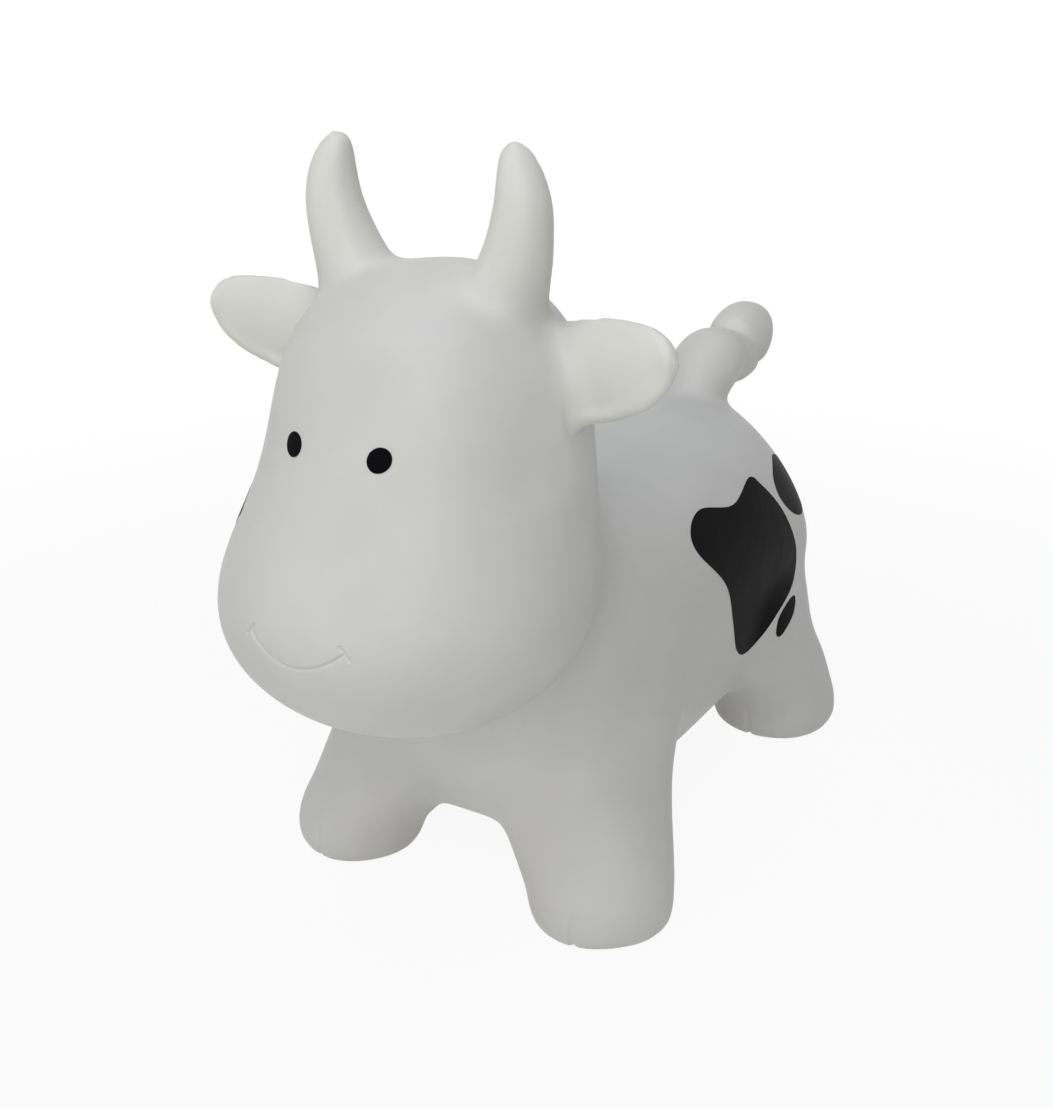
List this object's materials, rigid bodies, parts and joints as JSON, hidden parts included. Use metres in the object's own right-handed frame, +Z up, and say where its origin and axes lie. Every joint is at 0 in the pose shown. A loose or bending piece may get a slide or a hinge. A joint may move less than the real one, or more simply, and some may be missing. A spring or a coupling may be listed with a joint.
{
  "type": "bouncy ride-on animal",
  "caption": "Cow-shaped inflatable hopper with a barrel body to sit on, stubby springy legs, flexing horns, ears and tail, painted patches and an air valve under the belly.",
  "frame": {"origin": "on the ground under the middle of the toy's outline, which runs from the muzzle to the tail and from ear to ear", "axes": "+Z up, the cow faces -Y, its left side is +X"},
  "size_m": [0.32, 0.652, 0.5001],
  "materials": {
    "skin": "satin, very finely mottled soft PVC",
    "lobe_skin": "satin, slightly warmer soft PVC",
    "leg_skin": "satin soft PVC",
    "valve_rubber": "satin",
    "valve_plug": "satin",
    "eye_paint": "semi-gloss black paint",
    "patch_paint": "satin black paint"
  },
  "bodies": {
    "body": {"torso_shell": "skin", "head_shell": "skin", "valve_seat": "valve_rubber", "eye_left": "eye_paint", "eye_right": "eye_paint", "patch_flank_left": "patch_paint", "patch_hip_left": "patch_paint", "patch_rump_left": "patch_paint", "patch_flank_right": "patch_paint", "patch_cheek_right": "patch_paint"},
    "horn_left": {"horn_left": "lobe_skin"},
    "horn_right": {"horn_right": "lobe_skin"},
    "ear_left": {"ear_left": "lobe_skin"},
    "ear_right": {"ear_right": "lobe_skin"},
    "leg_front_left": {"leg_front_left": "leg_skin"},
    "leg_front_right": {"leg_front_right": "leg_skin"},
    "leg_rear_left": {"leg_rear_left": "leg_skin"},
    "leg_rear_right": {"leg_rear_right": "leg_skin"},
    "tail": {"tail": "lobe_skin"},
    "valve_plug": {"valve_plug": "valve_plug"}
  },
  "joints": [
    {"name": "horn_left_flex", "type": "hinge", "parent": "body", "child": "horn_left", "pos_m": [0.047, -0.1845, 0.368], "axis": [1, 0, 0], "range_deg": [-8, 8], "stiffness_Nm_per_rad": 1},
    {"name": "horn_right_flex", "type": "hinge", "parent": "body", "child": "horn_right", "pos_m": [-0.047, -0.1845, 0.368], "axis": [1, 0, 0], "range_deg": [-8, 8], "stiffness_Nm_per_rad": 1},
    {"name": "ear_left_flex", "type": "hinge", "parent": "body", "child": "ear_left", "pos_m": [0.069, -0.1715, 0.373], "axis": [0, 0, 1], "range_deg": [-12, 12], "stiffness_Nm_per_rad": 0.5},
    {"name": "ear_right_flex", "type": "hinge", "parent": "body", "child": "ear_right", "pos_m": [-0.069, -0.1715, 0.373], "axis": [0, 0, -1], "range_deg": [-12, 12], "stiffness_Nm_per_rad": 0.5},
    {"name": "tail_flex", "type": "hinge", "parent": "body", "child": "tail", "pos_m": [0, 0.2145, 0.204], "axis": [1, 0, 0], "range_deg": [-6, 9], "stiffness_Nm_per_rad": 6},
    {"name": "leg_front_left_bounce", "type": "slide", "parent": "body", "child": "leg_front_left", "axis": [0, 0, 1], "range_m": [0, 0.02], "stiffness_N_per_m": 3000, "springref_m": -0.005, "deforming": ["leg_front_left"]},
    {"name": "leg_front_right_bounce", "type": "slide", "parent": "body", "child": "leg_front_right", "axis": [0, 0, 1], "range_m": [0, 0.02], "stiffness_N_per_m": 3000, "springref_m": -0.005, "deforming": ["leg_front_right"]},
    {"name": "leg_rear_left_bounce", "type": "slide", "parent": "body", "child": "leg_rear_left", "axis": [0, 0, 1], "range_m": [0, 0.02], "stiffness_N_per_m": 3000, "springref_m": -0.005, "deforming": ["leg_rear_left"]},
    {"name": "leg_rear_right_bounce", "type": "slide", "parent": "body", "child": "leg_rear_right", "axis": [0, 0, 1], "range_m": [0, 0.02], "stiffness_N_per_m": 3000, "springref_m": -0.005, "deforming": ["leg_rear_right"]},
    {"name": "valve_plug_pull", "type": "slide", "parent": "body", "child": "valve_plug", "axis": [0, 0, -1], "range_m": [0, 0.025]}
  ]
}
